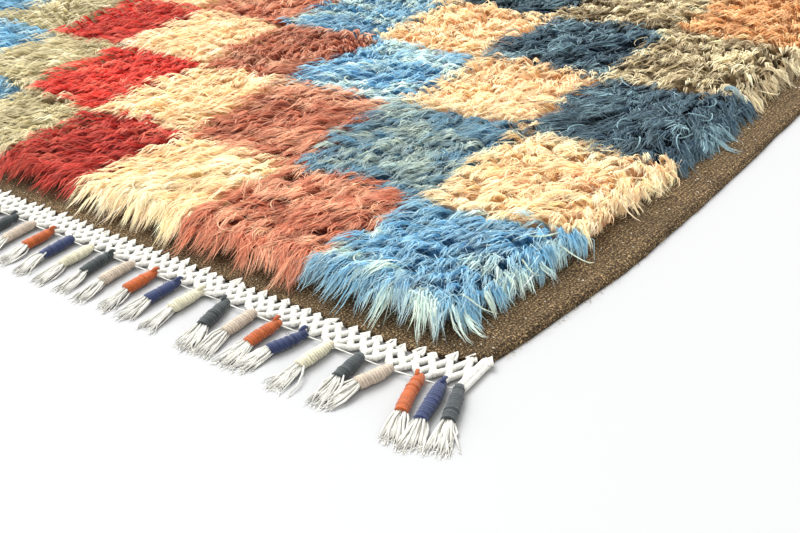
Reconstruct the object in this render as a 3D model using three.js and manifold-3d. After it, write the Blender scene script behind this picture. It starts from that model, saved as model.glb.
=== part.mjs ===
// Hand-knotted shag rug with a checked pile, a flat-woven ground and tasselled ends, lying flat on a floor.
// Millimetres, +Z up, origin on the floor under the middle of the rug. X runs across the rug, Y along it.
import * as THREE from 'three';
import { mergeVertices } from 'three/addons/utils/BufferGeometryUtils.js';
import Module from 'manifold-3d';

const wasm = await Module();
wasm.setup();

// Plan of the rug
const CHECK_WIDTH = 140; // one colour check of the pile, across the rug
const CHECK_LENGTH = 130; // the same, along the rug
const COLUMNS = 8;
const ROWS = 13;
const SELVEDGE = 44; // bare flat weave beside the roots of the pile
const END_BORDER = 34; // bare flat weave before and behind the roots of the pile
const EDGE_WAVE = 2; // how far the long sides waver
const WAVE_LENGTH = 310;
const SIDE_DRAW = { depth: 21, reach: 155 }; // long sides pulled in towards each corner
const END_DRAW = { depth: 29, reach: 81 }; // ends pulled back towards each corner
const DRAW_POWER = 1.5;
const DRAW_STATIONS = [0.25, 0.5, 0.75, 1]; // where a drawn edge has its points, as shares of the reach
const GAP = 0.3; // clearance between neighbouring pieces
const MERGE_DISTANCE = 1e-4;

// Ground weave
const GROUND_THICK = 4;
const SELVEDGE_CORD = { rise: 2, width: 14, roundOver: 1.5, edgeHeight: 2.6 };

// Pile
const PILE_HEIGHT = 22;
const LUMP = { rise: 3, across: 41, along: 37, swayAcross: 63, swayAlong: 57 }; // lumps of the pile's top
const PILE_LEAN = 18; // how far the front rim spills over its roots
const SIDE_SPILL = 6; // how far the side rims spill over theirs
const RIM = { width: 20, share: 0.35 }; // shoulder of the slab, and the share of the height left at its edge
const SAMPLES_PER_CHECK = 3;
const LOCK = { root: 4.5, tip: 0.9, sides: 3, steps: 2, inside: 14, arch: 3 };
const LOCK_STRAY = { place: 0.25, heading: 22, reach: 0.3 };

// Locks along each rim of the pile: the rim's place, how many, their heading in degrees, and how they end
const LOCK_ROWS = [
  { rim: (share) => [share, -1], count: 36, heading: -90, reach: 11, tipHeight: 6 },
  { rim: (share) => [1, share], count: 20, heading: -35, reach: 12, tipHeight: 8.5 },
  { rim: (share) => [-1, share], count: 20, heading: -145, reach: 12, tipHeight: 8.5 },
  { rim: (share) => [share, 1], count: 12, heading: 90, reach: 12, tipHeight: 8.5 },
];

// Fringed ends: knotted band, wrapped tassel heads and loose strands
const BAND_WIDTH = 23;
const BAND_THICK = 3;
const BAND_LIFT = 0.6; // the tassel heads hold the band this far off the floor
const BAND_DRAW_SHARE = 0.35; // share of the end's draw that the band's outer edge follows
const BAND_NOTCH = 8; // depth of the notch between two tassels
const BAND_END = 18; // band's end, in from the side of the rug
const MESH_HOLE = { across: 7, along: 6, fromGround: 8 };
const HEAD = { radius: 4.7, neck: 4.4, sides: 6, sink: 1.2 };
const STRAND = { root: 1.2, tip: 1, sides: 3, length: 29, sink: 4, apart: 1.25, splay: 7, lift: 0.15 };

// Tassels next to each corner: inset from the side, lean towards it in degrees, and length of the head
const CORNER_TASSELS = [
  { inset: 21, lean: 25, head: 34 },
  { inset: 33, lean: 17, head: 38 },
  { inset: 49, lean: 20, head: 37 },
  { inset: 71, lean: -18, head: 26 },
  { inset: 97, lean: 6, head: 27 },
  { inset: 124, lean: -4, head: 30 },
  { inset: 148, lean: -18, head: 29 },
  { inset: 174, lean: -3, head: 30 },
  { inset: 200, lean: 0, head: 29 },
  { inset: 229, lean: 14, head: 33 },
];
const TASSEL_PITCH = 28;
const TASSEL_HEAD = 30;
const TASSEL_STRAY = { place: 1.5, lean: 4, head: 2 };

// Derived sizes
const PILE_HALF_WIDTH = COLUMNS * CHECK_WIDTH / 2;
const PILE_HALF_LENGTH = ROWS * CHECK_LENGTH / 2;
const HALF_WIDTH = PILE_HALF_WIDTH + SELVEDGE;
const HALF_LENGTH = PILE_HALF_LENGTH + END_BORDER;
const PILE_FOOT = GROUND_THICK + GAP;

// Repeatable number from -1 to 1 for the item with this index
function stray(index, salt) {
  const wave = Math.sin(index * 12.9898 + salt * 78.233) * 43758.5453;
  return 2 * (wave - Math.floor(wave)) - 1;
}

// How far an edge is drawn in at a distance from its corner
function drawIn({ depth, reach }, fromCorner) {
  return depth * Math.max(0, 1 - fromCorner / reach) ** DRAW_POWER;
}

// Half width of the rug at a distance y along it
function sideAt(y) {
  const wave = EDGE_WAVE * (1 - Math.cos(2 * Math.PI * y / WAVE_LENGTH)) / 2;
  return HALF_WIDTH - wave - drawIn(SIDE_DRAW, HALF_LENGTH - Math.abs(y));
}

// Half length of the ground weave at a distance x from its middle line
function endAt(x) {
  return HALF_LENGTH - drawIn(END_DRAW, HALF_WIDTH - Math.abs(x));
}

// Stations from -half to half: the given distances in from each edge, then even steps between them
function stations(half, fromEdge, step) {
  const inner = half - fromEdge.at(-1);
  const count = Math.max(1, Math.round(2 * inner / step));
  const near = fromEdge.map((d) => half - d);
  const middle = Array.from({ length: count - 1 }, (_, i) => -inner + 2 * inner * (i + 1) / count);
  return [...near.map((d) => -d), ...middle, ...near.toReversed()];
}

// Closed slab: a grid of points on top, a flat foot under its rim, and a wall between the two
function slab(columns, rows, place, foot) {
  const points = [];
  const faces = [];
  const at = (i, j) => j * columns.length + i;
  for (const row of rows) {
    for (const column of columns) points.push(place(column, row));
  }
  for (let j = 0; j + 1 < rows.length; j++) {
    for (let i = 0; i + 1 < columns.length; i++) {
      faces.push(at(i, j), at(i + 1, j), at(i + 1, j + 1));
      faces.push(at(i, j), at(i + 1, j + 1), at(i, j + 1));
    }
  }
  const lastColumn = columns.length - 1;
  const lastRow = rows.length - 1;
  const rim = [];
  for (let i = 0; i < lastColumn; i++) rim.push(at(i, 0));
  for (let j = 0; j < lastRow; j++) rim.push(at(lastColumn, j));
  for (let i = lastColumn; i > 0; i--) rim.push(at(i, lastRow));
  for (let j = lastRow; j > 0; j--) rim.push(at(0, j));
  const below = rim.map((top) => {
    points.push(new THREE.Vector3(points[top].x, points[top].y, foot));
    return points.length - 1;
  });
  rim.forEach((top, k) => {
    const next = (k + 1) % rim.length;
    faces.push(top, below[k], below[next]);
    faces.push(top, below[next], rim[next]);
  });
  const outline = below.map((k) => new THREE.Vector2(points[k].x, points[k].y));
  for (const [a, b, c] of THREE.ShapeUtils.triangulateShape(outline, [])) {
    faces.push(below[a], below[c], below[b]);
  }
  return new THREE.BufferGeometry().setFromPoints(points).setIndex(faces);
}

// Tapered strand of few sides from one point to another, arched upwards between them, with a flat side down
function strand(start, end, { root, tip, sides, steps = 1, arch = 0 }) {
  const geometry = new THREE.CylinderGeometry(tip, root, 1, sides, steps);
  const along = end.clone().sub(start);
  const side = new THREE.Vector3(along.y, -along.x, 0).normalize();
  const up = new THREE.Vector3().crossVectors(side, along).normalize();
  const position = geometry.attributes.position;
  for (let k = 0; k < position.count; k++) {
    const share = position.getY(k) + 0.5;
    const point = start.clone().addScaledVector(along, share);
    point.addScaledVector(side, position.getX(k)).addScaledVector(up, position.getZ(k));
    point.z += 4 * arch * share * (1 - share);
    position.setXYZ(k, point.x, point.y, point.z);
  }
  return geometry;
}

// Closed solid of a geometry, with its shared corners merged
function toSolid(geometry) {
  const bare = geometry.clone();
  bare.deleteAttribute('normal');
  bare.deleteAttribute('uv');
  const merged = mergeVertices(bare, MERGE_DISTANCE);
  const vertProperties = new Float32Array(merged.attributes.position.array);
  const triVerts = new Uint32Array(merged.index.array);
  return new wasm.Manifold(new wasm.Mesh({ numProp: 3, vertProperties, triVerts }));
}

// One geometry from several that overlap
function joined(geometries) {
  const mesh = geometries.map(toSolid).reduce((whole, piece) => whole.add(piece)).getMesh();
  const geometry = new THREE.BufferGeometry();
  geometry.setAttribute('position', new THREE.BufferAttribute(mesh.vertProperties, 3));
  geometry.setIndex(new THREE.BufferAttribute(mesh.triVerts, 1));
  return geometry;
}

// Flat-woven ground with a rounded cord along each long side
function groundWeave() {
  const { rise, width, roundOver, edgeHeight } = SELVEDGE_CORD;
  const cordStations = [0, roundOver, width / 3, 2 * width / 3, width];
  const endStations = DRAW_STATIONS.map((share) => share * END_DRAW.reach);
  const sideStations = DRAW_STATIONS.map((share) => share * SIDE_DRAW.reach);
  const columns = stations(HALF_WIDTH, [...cordStations, ...endStations], HALF_WIDTH);
  const rows = stations(HALF_LENGTH, [0, ...sideStations], WAVE_LENGTH / 4);
  const place = (column, row) => {
    const x = column / HALF_WIDTH * sideAt(row);
    const y = row / HALF_LENGTH * endAt(x);
    const fromSide = HALF_WIDTH - Math.abs(column);
    const cord = fromSide < width ? rise * Math.sin(Math.PI * fromSide / width) : 0;
    const z = fromSide === 0 ? edgeHeight : GROUND_THICK + cord;
    return new THREE.Vector3(x, y, z);
  };
  return slab(columns, rows, place, 0);
}

// Where a point of the pile's own rectangle lies on the drawn-in rug, leaning towards the front end
function pilePlace(across, along) {
  const halfWidth = sideAt(along * HALF_LENGTH) - SELVEDGE + SIDE_SPILL;
  const x = across * halfWidth;
  const y = along * (endAt(x) - END_BORDER) - PILE_LEAN * (1 - along) / 2;
  return new THREE.Vector2(x, y);
}

// Height of the pile over its foot: a rounded shoulder along the rim and low wandering lumps inside it
function pileHeight(x, y, fromRim) {
  const shoulder = 1 - (1 - RIM.share) * Math.max(0, 1 - fromRim / RIM.width) ** 2;
  const acrossWave = Math.sin(x / LUMP.across + Math.sin(y / LUMP.swayAlong));
  const alongWave = Math.cos(y / LUMP.along + Math.sin(x / LUMP.swayAcross));
  return shoulder * (PILE_HEIGHT + LUMP.rise * acrossWave * alongWave);
}

function pileSlab() {
  const fromRim = [0, RIM.width / 3, RIM.width];
  const columns = stations(PILE_HALF_WIDTH, fromRim, CHECK_WIDTH / SAMPLES_PER_CHECK);
  const rows = stations(PILE_HALF_LENGTH, fromRim, CHECK_LENGTH / SAMPLES_PER_CHECK);
  const place = (column, row) => {
    const { x, y } = pilePlace(column / PILE_HALF_WIDTH, row / PILE_HALF_LENGTH);
    const distance = Math.min(PILE_HALF_WIDTH - Math.abs(column), PILE_HALF_LENGTH - Math.abs(row));
    return new THREE.Vector3(x, y, PILE_FOOT + pileHeight(x, y, distance));
  };
  return slab(columns, rows, place, PILE_FOOT);
}

// One row of locks that fall out over the bare weave along one rim of the pile
function rimLocks({ rim, count, heading, reach, tipHeight }) {
  const locks = [];
  for (let k = 0; k < count; k++) {
    const share = 2 * (k + 0.5 + LOCK_STRAY.place * stray(k, count)) / count - 1;
    const turn = THREE.MathUtils.degToRad(heading + LOCK_STRAY.heading * stray(k, heading));
    const direction = new THREE.Vector3(Math.cos(turn), Math.sin(turn), 0);
    const { x, y } = pilePlace(...rim(share));
    const edge = new THREE.Vector3(x, y, 0);
    const start = edge.clone().addScaledVector(direction, -LOCK.inside);
    const end = edge.clone().addScaledVector(direction, reach * (1 + LOCK_STRAY.reach * stray(k, reach)));
    start.setZ(PILE_FOOT + PILE_HEIGHT * RIM.share);
    end.setZ(tipHeight);
    locks.push(strand(start, end, LOCK));
  }
  return locks;
}

function pile() {
  return joined([pileSlab(), ...LOCK_ROWS.flatMap(rimLocks)]);
}

// Every tassel of one end, from the right side of the rug to the left
function tasselRow() {
  const right = CORNER_TASSELS.map(({ inset, lean, head }) => ({ x: HALF_WIDTH - inset, lean, head }));
  const left = right.map(({ x, lean, head }) => ({ x: -x, lean: -lean, head })).toReversed();
  const from = right.at(-1).x;
  const steps = Math.round(2 * from / TASSEL_PITCH);
  const between = Array.from({ length: steps - 1 }, (_, i) => ({
    x: from - 2 * from * (i + 1) / steps + TASSEL_STRAY.place * stray(i, 1),
    lean: TASSEL_STRAY.lean * stray(i, 2),
    head: TASSEL_HEAD + TASSEL_STRAY.head * stray(i, 3),
  }));
  return [...right, ...between, ...left];
}

// Outer edge of the knotted band at a distance x from the middle line
function bandEdge(x) {
  return HALF_LENGTH + BAND_WIDTH - BAND_DRAW_SHARE * drawIn(END_DRAW, HALF_WIDTH - Math.abs(x));
}

// Knotted openwork band: notched between the tassels, with two lozenge-shaped gaps above each notch
function knottedBand(tassels) {
  const end = HALF_WIDTH - BAND_END;
  const fromEnd = DRAW_STATIONS.map((share) => share * (END_DRAW.reach - BAND_END));
  const inner = stations(end, [0, ...fromEnd], end);
  const outline = inner.map((x) => new THREE.Vector2(x, -endAt(x) - GAP));
  outline.push(new THREE.Vector2(end, -bandEdge(end)));
  const holes = [];
  tassels.forEach(({ x }, k) => {
    outline.push(new THREE.Vector2(x, -bandEdge(x)));
    if (k + 1 === tassels.length) return;
    const middle = (x + tassels[k + 1].x) / 2;
    const spread = x - tassels[k + 1].x;
    if (spread < 3 * MESH_HOLE.across) return;
    outline.push(new THREE.Vector2(middle, -bandEdge(middle) + BAND_NOTCH));
    for (const place of [middle - spread / 4, middle + spread / 4]) {
      holes.push(lozenge(place, -endAt(place) - MESH_HOLE.fromGround));
    }
  });
  outline.push(new THREE.Vector2(-end, -bandEdge(end)));
  const shape = new THREE.Shape(outline);
  shape.holes.push(...holes);
  const band = new THREE.ExtrudeGeometry(shape, { depth: BAND_THICK, bevelEnabled: false });
  return band.translate(0, 0, BAND_LIFT);
}

function lozenge(x, y) {
  const { across, along } = MESH_HOLE;
  const corners = [[-across / 2, 0], [0, -along / 2], [across / 2, 0], [0, along / 2]];
  return new THREE.Path(corners.map(([dx, dy]) => new THREE.Vector2(x + dx, y + dy)));
}

// Yarn-wrapped tassel head lying on the floor with a flat side down, pointing away from the rug
function tasselHead(root, lean, length) {
  const { radius, neck, sides } = HEAD;
  const profile = [[0, 0], [neck, 0], [radius, length], [0, length]];
  const points = profile.map(([r, h]) => new THREE.Vector2(r, h));
  const geometry = new THREE.LatheGeometry(points, sides, Math.PI / sides);
  return geometry.rotateZ(Math.PI + lean).translate(root.x, root.y, root.z);
}

function tassel({ x, lean, head }) {
  const turn = THREE.MathUtils.degToRad(lean);
  const heading = (angle) => new THREE.Vector3(Math.sin(angle), -Math.cos(angle), 0);
  const axisHeight = HEAD.radius * Math.cos(Math.PI / HEAD.sides);
  const root = new THREE.Vector3(x, -bandEdge(x) + HEAD.sink, axisHeight);
  const foot = root.clone().addScaledVector(heading(turn), head);
  const pieces = [tasselHead(root, turn, head)];
  for (const hand of [-1, 1]) {
    const direction = heading(turn + hand * THREE.MathUtils.degToRad(STRAND.splay));
    const across = new THREE.Vector3(Math.cos(turn), Math.sin(turn), 0);
    const start = foot.clone().addScaledVector(across, hand * STRAND.apart);
    const end = start.clone().addScaledVector(direction, STRAND.length);
    start.addScaledVector(direction, -STRAND.sink).setZ(STRAND.root / 2 + STRAND.lift);
    end.setZ(STRAND.tip / 2 + STRAND.lift);
    pieces.push(strand(start, end, STRAND));
  }
  return pieces;
}

function fringe() {
  const tassels = tasselRow();
  return joined([knottedBand(tassels), ...tassels.flatMap(tassel)]);
}

function wool(name, geometry, color) {
  const material = new THREE.MeshStandardMaterial({ color, roughness: 0.95, metalness: 0 });
  const mesh = new THREE.Mesh(geometry, material);
  mesh.name = name;
  return mesh;
}

const BROWN_WOOL = 0x5f4e3a;
const PILE_WOOL = 0x8a9aa0;
const COTTON = 0xf2f1ea;

const rug = new THREE.Group();
rug.add(wool('ground_weave', groundWeave(), BROWN_WOOL));
rug.add(wool('pile', pile(), PILE_WOOL));
const fringeShape = fringe();
const frontFringe = wool('fringe_front', fringeShape, COTTON);
const backFringe = wool('fringe_back', fringeShape, COTTON);
backFringe.rotation.z = Math.PI;
rug.add(frontFringe, backFringe);

export default rug;
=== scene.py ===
"""A hand-knotted shag rug: checked wool pile, brown flat-woven ground, knotted ends with wrapped tassels.

Lengths are in metres. X runs across the rug and Y along it, and the pile leans towards -Y.
"""
import math

import bpy
import numpy as np
from mathutils import Matrix, Vector


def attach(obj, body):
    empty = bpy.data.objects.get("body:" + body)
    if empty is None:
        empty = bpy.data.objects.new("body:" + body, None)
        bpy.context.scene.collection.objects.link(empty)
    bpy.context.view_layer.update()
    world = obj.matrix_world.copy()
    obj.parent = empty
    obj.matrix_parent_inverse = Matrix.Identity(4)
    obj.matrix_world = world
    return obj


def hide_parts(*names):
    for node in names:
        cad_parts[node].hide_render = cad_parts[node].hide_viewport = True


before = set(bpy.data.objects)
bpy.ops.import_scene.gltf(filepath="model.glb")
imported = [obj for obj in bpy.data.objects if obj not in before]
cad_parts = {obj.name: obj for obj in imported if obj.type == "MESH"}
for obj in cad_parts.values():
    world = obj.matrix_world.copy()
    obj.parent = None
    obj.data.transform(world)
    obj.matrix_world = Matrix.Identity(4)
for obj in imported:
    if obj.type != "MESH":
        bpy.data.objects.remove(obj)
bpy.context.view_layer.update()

MM = 0.001
RNG = np.random.default_rng(2205)

# Plan of the rug, as in the solids
CHECK_WIDTH = 140 * MM
CHECK_LENGTH = 130 * MM
COLUMNS = 8
ROWS = 13
SELVEDGE = 44 * MM
END_BORDER = 34 * MM
EDGE_WAVE = 2 * MM
WAVE_LENGTH = 310 * MM
SIDE_DRAW = (21 * MM, 155 * MM)
END_DRAW = (29 * MM, 81 * MM)
DRAW_POWER = 1.5
PILE_HALF_WIDTH = COLUMNS * CHECK_WIDTH / 2
PILE_HALF_LENGTH = ROWS * CHECK_LENGTH / 2
HALF_WIDTH = PILE_HALF_WIDTH + SELVEDGE
HALF_LENGTH = PILE_HALF_LENGTH + END_BORDER

# Ground weave
GROUND_THICK = 4 * MM
CORD_RISE = 2 * MM
CORD_WIDTH = 14 * MM
RIB_PITCH = 3.4 * MM

# Pile
PILE_HEIGHT = 22 * MM
PILE_LEAN = 18 * MM
SIDE_SPILL = 6 * MM
RIM_WIDTH = 20 * MM
RIM_SHARE = 0.5
RIM_FALL = 18 * MM
RIM_LOW = 0.12
LUMP_RISE = 3 * MM
LUMP_ACROSS, LUMP_ALONG = 41 * MM, 37 * MM
LUMP_SWAY_ACROSS, LUMP_SWAY_ALONG = 63 * MM, 57 * MM
KNOT_ROWS_PER_CHECK = 12
KNOTS_PER_CHECK = 26
FRONT_RIM_PITCH = 1.8 * MM
RIM_PITCH = 2.8 * MM
# Shares of the pile's half size over which the knots of the rim are spread inwards
FRONT_RIM_DEPTH, RIM_DEPTH = 0.026, 0.008
KNOT_SET_BACK = 2 * MM
LOCK_REACH = 31 * MM
RIM_SHORTENING = 0.42
PIT_SHORTENING = 0.25
LOCK_HALF_WIDTH = 2.4 * MM
CRIMP = 0.5 * MM
GRAIN_SHIFT = 7.3 * MM
SPLAY_ANGLE = math.radians(46)
SPLAY_WIDTH = 16 * MM
# Distance from the front right corner, fibres in a lock, points along a fibre, width of a fibre
FIBRE_LEVELS = [
    (430 * MM, 10, 6, 1.15 * MM),
    (900 * MM, 5, 4, 1.7 * MM),
    (3000 * MM, 2, 3, 2.8 * MM),
]
FLYAWAY_WIDTH = 0.5 * MM
CURL_SHARE = 0.012
LOOSE_HAIR_SHARE = 0.35
# Low dense bed under the locks: shares of the pile's half width and half length
BED_ACROSS, BED_ALONG = 0.97, 0.985
# Lines between checks that stand off the even spacing, counted from the right side and from the front end
COLUMN_DRIFT = {1: 11 * MM, 2: 7 * MM}
ROW_DRIFT = {1: 7 * MM}
LINE_WAVER = 7 * MM
# Checks dyed lighter or darker than the rest, by column and row
CHECK_TONES = {(0, 0): 1.2, (1, 1): 0.7, (2, 2): 1.1, (2, 0): 1.1, (3, 0): 0.9, (4, 1): 1.2}
# Pale locks that stand out: dye, root from the right side and from the front end in mm, heading, reach in mm
SHOW_LOCKS = [
    ("blue", 75, 40, -30, 40),
    ("blue", 65, 40, -15, 30),
    ("blue", 55, 115, -15, 25),
    ("rose", 240, 135, -45, 60),
    ("rose", 200, 45, -105, 50),
    ("rose", 260, 40, -150, 50),
    ("peach", 60, 280, -45, 45),
    ("navy", 80, 430, -15, 50),
    ("navy", 60, 350, 0, 50),
    ("olive", 65, 490, 0, 40),
]
# Fibres in such a lock, points along a fibre, width of a fibre
SHOW_FIBRES = (14, 8, 0.9 * MM)

# Knotted band and tassels, as in the solids
BAND_WIDTH = 23 * MM
BAND_DRAW_SHARE = 0.35
BAND_END = 18 * MM
MESH_PITCH = 11.2 * MM
HEAD_RADIUS = 4.7 * MM
YARN = 2.1 * MM
STRAND_LENGTH = 29 * MM
KNOT_HALF_SIZE = (3.4 * MM, 2.9 * MM, 2.2 * MM)
CORNER_CORD = 2.2 * MM
TASSEL_PITCH = 28 * MM
TASSEL_HEAD = 30 * MM
TASSEL_STRAY = {"place": 1.5 * MM, "lean": 4, "head": 2 * MM}
# Tucked end of the wrapping yarn in mm: along the head, out to its side, and up from its middle
YARN_END = [(4, 1, 2.4), (1.5, 1.5, 3.6), (-0.5, 2, 3.6), (-2.5, 2, 2.4)]
# Inset from the side in mm, lean towards the side in degrees, length of the head in mm
CORNER_TASSELS = [
    (21, 25, 34),
    (33, 17, 38),
    (49, 20, 37),
    (71, -18, 26),
    (97, 6, 27),
    (124, -4, 30),
    (148, -18, 29),
    (174, -3, 30),
    (200, 0, 29),
    (229, 14, 33),
]


def srgb(red, green, blue):
    """Linear colour of a screen colour given from 0 to 255."""
    c = np.array([red, green, blue]) / 255
    return np.where(c <= 0.04045, c / 12.92, ((c + 0.055) / 1.055) ** 2.4)


# Dyes of the pile by diagonal, starting four diagonals before the front right check:
# body, pale tips, a dark tone for darker patches and for painted shade at the roots, in the pits and on the
# bed, share of pale rows, length of the locks, and how much they curl
DYES = [
    ("rust", srgb(217, 166, 110), srgb(244, 212, 164), srgb(156, 98, 54), 0.25, 1.0, 1.0),
    ("olive", srgb(140, 118, 82), srgb(246, 234, 198), srgb(84, 64, 40), 0.50, 1.1, 1.4),
    ("navy", srgb(25, 57, 80), srgb(164, 196, 204), srgb(4, 9, 16), 0.26, 1.2, 1.8),
    ("peach", srgb(246, 220, 178), srgb(255, 240, 210), srgb(240, 182, 124), 0.30, 0.9, 1.4),
    ("blue", srgb(100, 164, 198), srgb(226, 238, 222), srgb(46, 106, 152), 0.39, 1.0, 1.0),
    ("rose", srgb(192, 108, 78), srgb(242, 198, 164), srgb(124, 58, 50), 0.36, 1.1, 1.3),
    ("cream", srgb(243, 217, 176), srgb(255, 241, 214), srgb(236, 194, 136), 0.30, 1.1, 0.7),
    ("red", srgb(196, 50, 42), srgb(234, 128, 104), srgb(142, 32, 32), 0.24, 1.0, 0.8),
    ("khaki", srgb(198, 187, 146), srgb(238, 230, 200), srgb(130, 114, 76), 0.35, 1.0, 1.0),
    ("steel", srgb(126, 180, 206), srgb(212, 228, 224), srgb(64, 112, 146), 0.25, 1.0, 1.0),
    ("coral", srgb(230, 112, 80), srgb(246, 180, 150), srgb(166, 58, 36), 0.22, 1.0, 1.0),
]
FIRST_DIAGONAL = 4

COTTON_WHITE = srgb(208, 207, 199)
# Wrapping yarns from the right corner inwards: the corner's own, then a repeat of five
YARN_COLOURS = {
    "dark": srgb(40, 48, 50),
    "blue": srgb(29, 43, 82),
    "orange": srgb(160, 74, 18),
    "beige": srgb(170, 157, 140),
    "cream": srgb(192, 187, 162),
}
YARN_REPEAT = ["blue", "orange", "beige", "dark", "cream"]


# Repeatable noise
def stray(index, salt):
    """Repeatable number from -1 to 1 for the item with this index, as in the solids."""
    wave = np.sin(index * 12.9898 + salt * 78.233) * 43758.5453
    return 2 * (wave - np.floor(wave)) - 1


def field(x, y, cell_x, cell_y, seed):
    """Smooth noise from 0 to 1 over the plane, with cells of the given size."""
    side = 128
    table = np.random.default_rng(seed).random((side, side))
    u, v = np.asarray(x) / cell_x + 1000, np.asarray(y) / cell_y + 1000
    i, j = np.floor(u).astype(int), np.floor(v).astype(int)
    fu, fv = u - i, v - j
    fu, fv = fu * fu * (3 - 2 * fu), fv * fv * (3 - 2 * fv)
    a, b = table[i % side, j % side], table[(i + 1) % side, j % side]
    c, d = table[i % side, (j + 1) % side], table[(i + 1) % side, (j + 1) % side]
    return (a * (1 - fu) + b * fu) * (1 - fv) + (c * (1 - fu) + d * fu) * fv


def smooth_step(low, high, value):
    t = np.clip((value - low) / (high - low), 0, 1)
    return t * t * (3 - 2 * t)


# Outline of the rug
def draw_in(draw, from_corner):
    depth, reach = draw
    return depth * np.maximum(0, 1 - from_corner / reach) ** DRAW_POWER


def side_at(y):
    wave = EDGE_WAVE * (1 - np.cos(2 * np.pi * y / WAVE_LENGTH)) / 2
    return HALF_WIDTH - wave - draw_in(SIDE_DRAW, HALF_LENGTH - np.abs(y))


def end_at(x):
    return HALF_LENGTH - draw_in(END_DRAW, HALF_WIDTH - np.abs(x))


def band_edge(x):
    return HALF_LENGTH + BAND_WIDTH - BAND_DRAW_SHARE * draw_in(END_DRAW, HALF_WIDTH - np.abs(x))


def pile_root(across, along):
    """Where a knot of the pile's own rectangle stands on the drawn-in ground."""
    x = across * (side_at(along * HALF_LENGTH) - SELVEDGE)
    return x, along * (end_at(x) - END_BORDER)


def pile_top(x, y):
    """Height of the pile's top over the ground: lumpy, with a rounded shoulder, and low past its rim."""
    from_side = side_at(y) - SELVEDGE + SIDE_SPILL - np.abs(x)
    end = end_at(x) - END_BORDER
    from_rim = np.minimum(from_side, np.minimum(y + end + PILE_LEAN, end - y))
    shoulder = 1 - (1 - RIM_SHARE) * np.maximum(0, 1 - np.maximum(from_rim, 0) / RIM_WIDTH) ** 2
    outside = np.clip(1 + from_rim / RIM_FALL, RIM_LOW, 1)
    across = np.sin(x / LUMP_ACROSS + np.sin(y / LUMP_SWAY_ALONG))
    along = np.cos(y / LUMP_ALONG + np.sin(x / LUMP_SWAY_ACROSS))
    return shoulder * outside * (PILE_HEIGHT + LUMP_RISE * across * along)


# Meshes from arrays
def make_piece(name, points, quads, tris, colours, grain, material, slot, replaced):
    """A joined mesh of many small faces, with a colour and a place in its fibre for each point."""
    corners = np.concatenate([quads.ravel(), tris.ravel()])
    sizes = np.concatenate([np.full(len(quads), 4), np.full(len(tris), 3)])
    starts = np.concatenate([[0], np.cumsum(sizes)[:-1]])
    mesh = bpy.data.meshes.new(name)
    mesh.vertices.add(len(points))
    mesh.vertices.foreach_set("co", points.astype(np.float32).ravel())
    mesh.loops.add(len(corners))
    mesh.loops.foreach_set("vertex_index", corners.astype(np.int32))
    mesh.polygons.add(len(sizes))
    mesh.polygons.foreach_set("loop_start", starts.astype(np.int32))
    mesh.polygons.foreach_set("use_smooth", np.ones(len(sizes), bool))
    rgba = np.ones((len(points), 4), np.float32)
    rgba[:, :3] = colours
    # Point colours: the dye, and at some points painted shade
    mesh.attributes.new("DyeAndShade", "FLOAT_COLOR", "POINT").data.foreach_set("color", rgba.ravel())
    place = grain.astype(np.float32).ravel()
    mesh.attributes.new("Grain", "FLOAT_VECTOR", "POINT").data.foreach_set("vector", place)
    mesh.update(calc_edges=True)
    mesh.materials.append(material)
    piece = bpy.data.objects.new(name, mesh)
    bpy.context.scene.collection.objects.link(piece)
    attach(piece, "root")
    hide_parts(replaced)
    return piece


class Shapes:
    """Collects the points, faces, colours and fibre places of many small shapes for one joined mesh."""

    def __init__(self):
        self.parts = []
        self.count = 0

    def add(self, points, quads, tris, colours, grain):
        quads = np.asarray(quads, np.int64).reshape(-1, 4) + self.count
        tris = np.asarray(tris, np.int64).reshape(-1, 3) + self.count
        colours = np.broadcast_to(colours, points.shape)
        self.parts.append((points, quads, tris, colours, grain))
        self.count += len(points)

    def piece(self, name, material, slot, replaced):
        joined = [np.concatenate(part) for part in zip(*self.parts)]
        return make_piece(name, *joined, material, slot, replaced)


def unit(vectors):
    return vectors / np.maximum(np.linalg.norm(vectors, axis=-1, keepdims=True), 1e-12)


def tangents(paths):
    return unit(np.gradient(paths, axis=1))


def run_along(paths):
    """Distance from the start of each path to its nodes."""
    steps = np.linalg.norm(np.diff(paths, axis=1), axis=-1)
    return np.concatenate([np.zeros((len(paths), 1)), np.cumsum(steps, axis=1)], axis=1)


def ribbons(shapes, paths, widths, rolls, colours):
    """Flat tapered fibres. paths is (fibre, node, xyz), and each fibre ends in a point at its last node."""
    count, nodes, _ = paths.shape
    along = tangents(paths)
    flat = unit(np.cross(along, [0.0, 0.0, 1.0]))
    lift = np.cross(flat, along)
    side = flat * np.cos(rolls)[:, None, None] + lift * np.sin(rolls)[:, None, None]
    half = side * (widths / 2)[..., None]
    per = 2 * nodes - 1
    points, tint, grain = np.empty((3, count, per, 3))
    points[:, 0:-1:2] = paths[:, :-1] - half[:, :-1]
    points[:, 1:-1:2] = paths[:, :-1] + half[:, :-1]
    points[:, -1] = paths[:, -1]
    tint[:, 0:-1:2] = tint[:, 1:-1:2] = colours[:, :-1]
    tint[:, -1] = colours[:, -1]
    grain[..., 0] = 0
    grain[:, 0:-1:2, 0] = -widths[:, :-1] / 2
    grain[:, 1:-1:2, 0] = widths[:, :-1] / 2
    grain[..., 1] = np.arange(count)[:, None] * GRAIN_SHIFT
    distance = run_along(paths)
    grain[:, 0:-1:2, 2] = grain[:, 1:-1:2, 2] = distance[:, :-1]
    grain[:, -1, 2] = distance[:, -1]
    base = np.arange(count)[:, None] * per
    quads = [base + [2 * k, 2 * k + 1, 2 * k + 3, 2 * k + 2] for k in range(nodes - 2)]
    tris = base + [per - 3, per - 2, per - 1]
    shapes.add(points.reshape(-1, 3), np.concatenate(quads), tris, tint.reshape(-1, 3), grain.reshape(-1, 3))


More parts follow.
